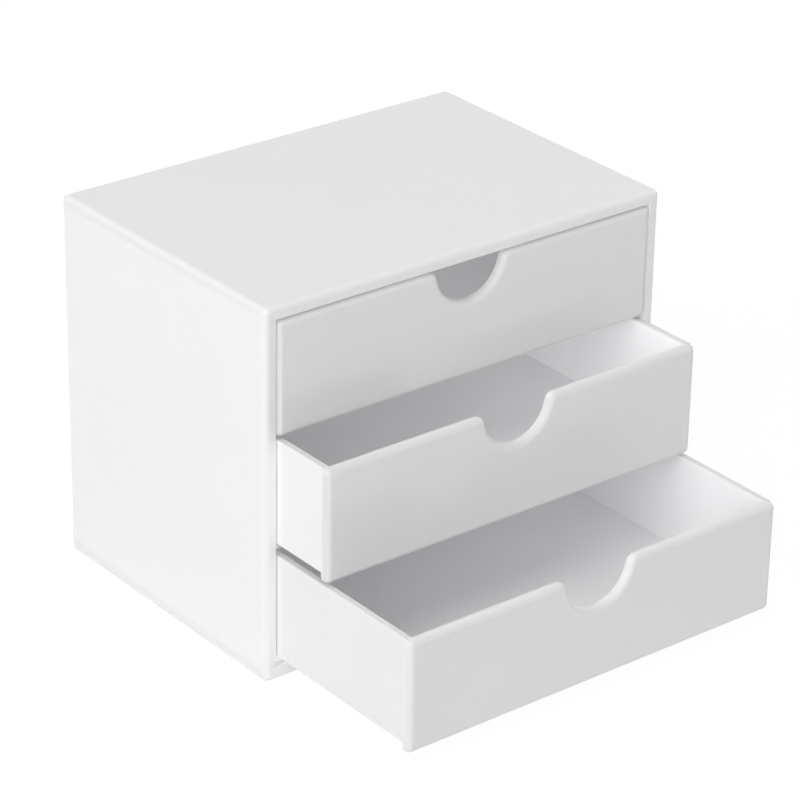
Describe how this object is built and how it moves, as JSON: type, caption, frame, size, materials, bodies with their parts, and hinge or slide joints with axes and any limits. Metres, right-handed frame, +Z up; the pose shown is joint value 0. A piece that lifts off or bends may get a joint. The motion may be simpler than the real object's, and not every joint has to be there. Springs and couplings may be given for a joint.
{
  "type": "stackable drawer box",
  "caption": "Free-standing box of bonded gloss white acrylic sheet with pull-out trays, each front cut with a half-round finger notch. Flat top and base for stacking.",
  "frame": {"origin": "centre of the case's underside, on the surface that the box stands on", "axes": "+Z up, -Y the way the drawers pull out, +X to the right of someone facing the drawers"},
  "size_m": [0.175, 0.1957, 0.143],
  "materials": {
    "case_sheet": "polished opaque white acrylic sheet",
    "drawer_sheet": "polished opaque white acrylic sheet"
  },
  "bodies": {
    "case": {"case_top": "case_sheet", "case_bottom": "case_sheet", "case_left_side": "case_sheet", "case_right_side": "case_sheet", "case_back": "case_sheet", "shelf_bottom": "case_sheet", "shelf_middle": "case_sheet", "shelf_top": "case_sheet"},
    "bottom_drawer": {"bottom_drawer_front": "drawer_sheet", "bottom_drawer_left_side": "drawer_sheet", "bottom_drawer_right_side": "drawer_sheet", "bottom_drawer_back": "drawer_sheet", "bottom_drawer_floor": "drawer_sheet"},
    "middle_drawer": {"middle_drawer_front": "drawer_sheet", "middle_drawer_left_side": "drawer_sheet", "middle_drawer_right_side": "drawer_sheet", "middle_drawer_back": "drawer_sheet", "middle_drawer_floor": "drawer_sheet"},
    "top_drawer": {"top_drawer_front": "drawer_sheet", "top_drawer_left_side": "drawer_sheet", "top_drawer_right_side": "drawer_sheet", "top_drawer_back": "drawer_sheet", "top_drawer_floor": "drawer_sheet"}
  },
  "joints": [
    {"name": "bottom_drawer_slide", "type": "slide", "parent": "case", "child": "bottom_drawer", "axis": [0, -1, 0], "range_m": [-0.073, 0.027]},
    {"name": "middle_drawer_slide", "type": "slide", "parent": "case", "child": "middle_drawer", "axis": [0, -1, 0], "range_m": [-0.0276, 0.0724]},
    {"name": "top_drawer_slide", "type": "slide", "parent": "case", "child": "top_drawer", "axis": [0, -1, 0], "range_m": [0, 0.1]}
  ]
}
